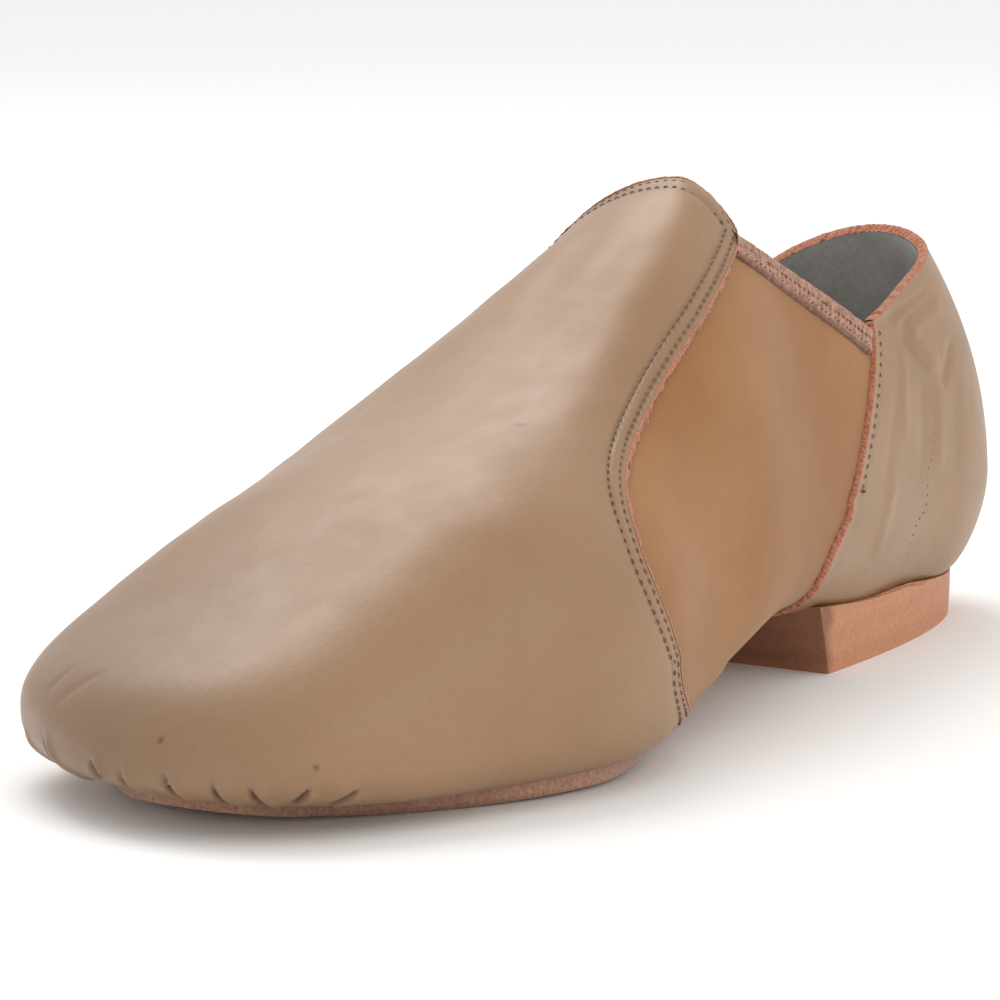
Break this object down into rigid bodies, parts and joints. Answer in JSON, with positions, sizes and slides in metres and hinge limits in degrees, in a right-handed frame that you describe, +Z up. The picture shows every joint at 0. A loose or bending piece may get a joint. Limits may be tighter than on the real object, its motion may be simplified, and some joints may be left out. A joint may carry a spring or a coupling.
{
  "type": "jazz shoe",
  "caption": "Slip-on split-sole jazz shoe in tan leather with stretch gores at the throat that wrap under the arch, a suede forefoot patch and a low block heel.",
  "frame": {"origin": "middle of the bounding box at the floor that the sole and the heel stand on", "axes": "+Z up, toe towards -Y and back of the heel towards +Y, inner (medial) side of a right foot towards +X"},
  "size_m": [0.0934, 0.2447, 0.0893],
  "materials": {
    "upper_leather": "fine-grained tan leather with a soft satin surface, with a stretch-fabric gore let in",
    "sole_suede": "napped sueded split leather",
    "heel_block": "matte tan heel block with a dark breast",
    "sock_lining": "grey brushed lining",
    "gore_binding": "folded fuzzy fabric tape"
  },
  "bodies": {
    "root": {"upper": "upper_leather", "outsole_forefoot": "sole_suede", "heel": "heel_block", "insole": "sock_lining", "binding_medial": "gore_binding", "binding_lateral": "gore_binding"}
  },
  "joints": []
}
